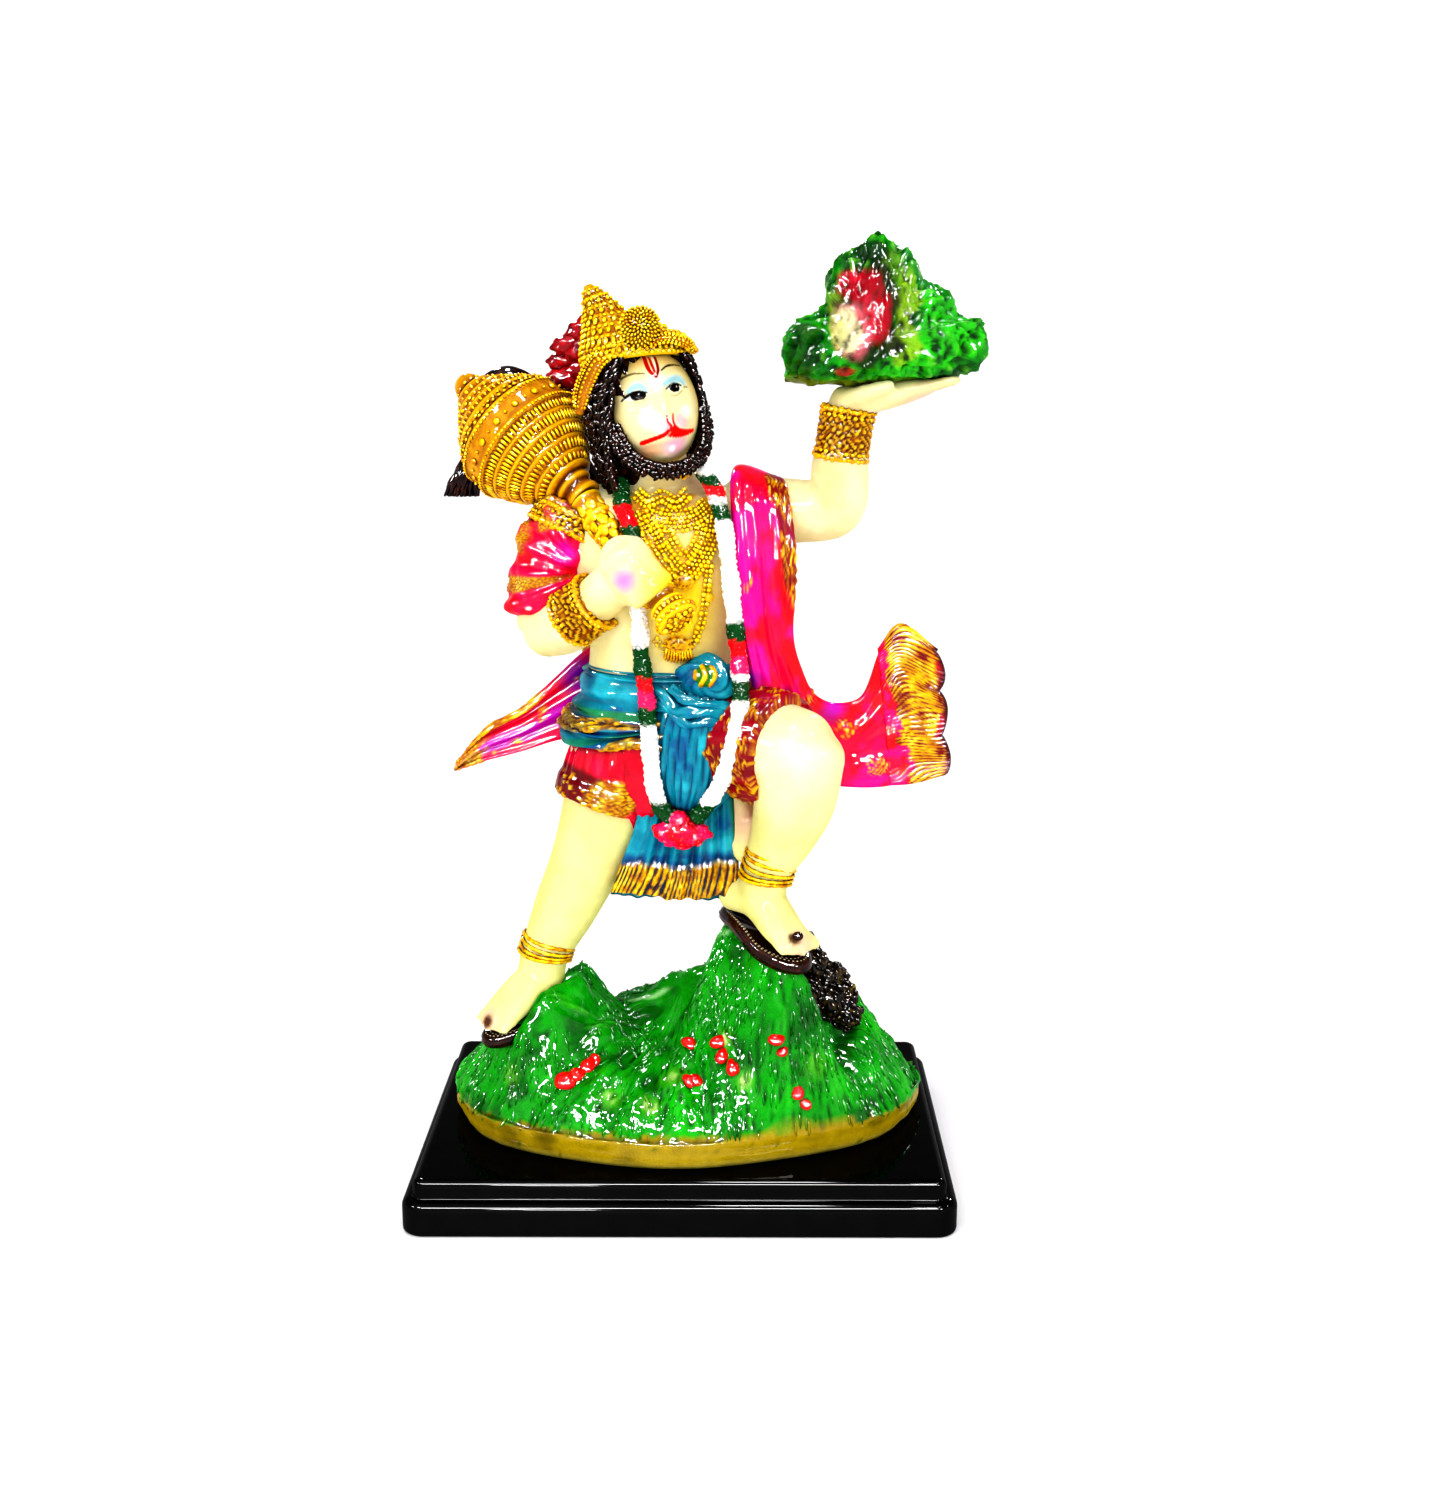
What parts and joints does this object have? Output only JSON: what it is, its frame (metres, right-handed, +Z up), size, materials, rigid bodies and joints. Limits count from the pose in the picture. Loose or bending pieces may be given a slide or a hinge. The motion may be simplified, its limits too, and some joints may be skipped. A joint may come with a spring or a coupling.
{
  "type": "hanuman figure",
  "caption": "Painted cast statuette of Hanuman striding on a grassy mound, mace on his shoulder and the hill raised on his palm, fixed to a moulded black plinth.",
  "frame": {"origin": "middle of the plinth's underside, on the surface that the statuette stands on", "axes": "+Z up, -Y towards the front that the figure is seen from, +X to the viewer's right"},
  "size_m": [0.1035, 0.07, 0.1741],
  "materials": {
    "painted_resin": "cast polyresin, airbrushed and hand painted in many colours under clear varnish",
    "black_gloss": "black gloss lacquer, worn along the edges"
  },
  "bodies": {
    "root": {"figure_casting": "painted_resin", "plinth": "black_gloss"}
  },
  "joints": []
}
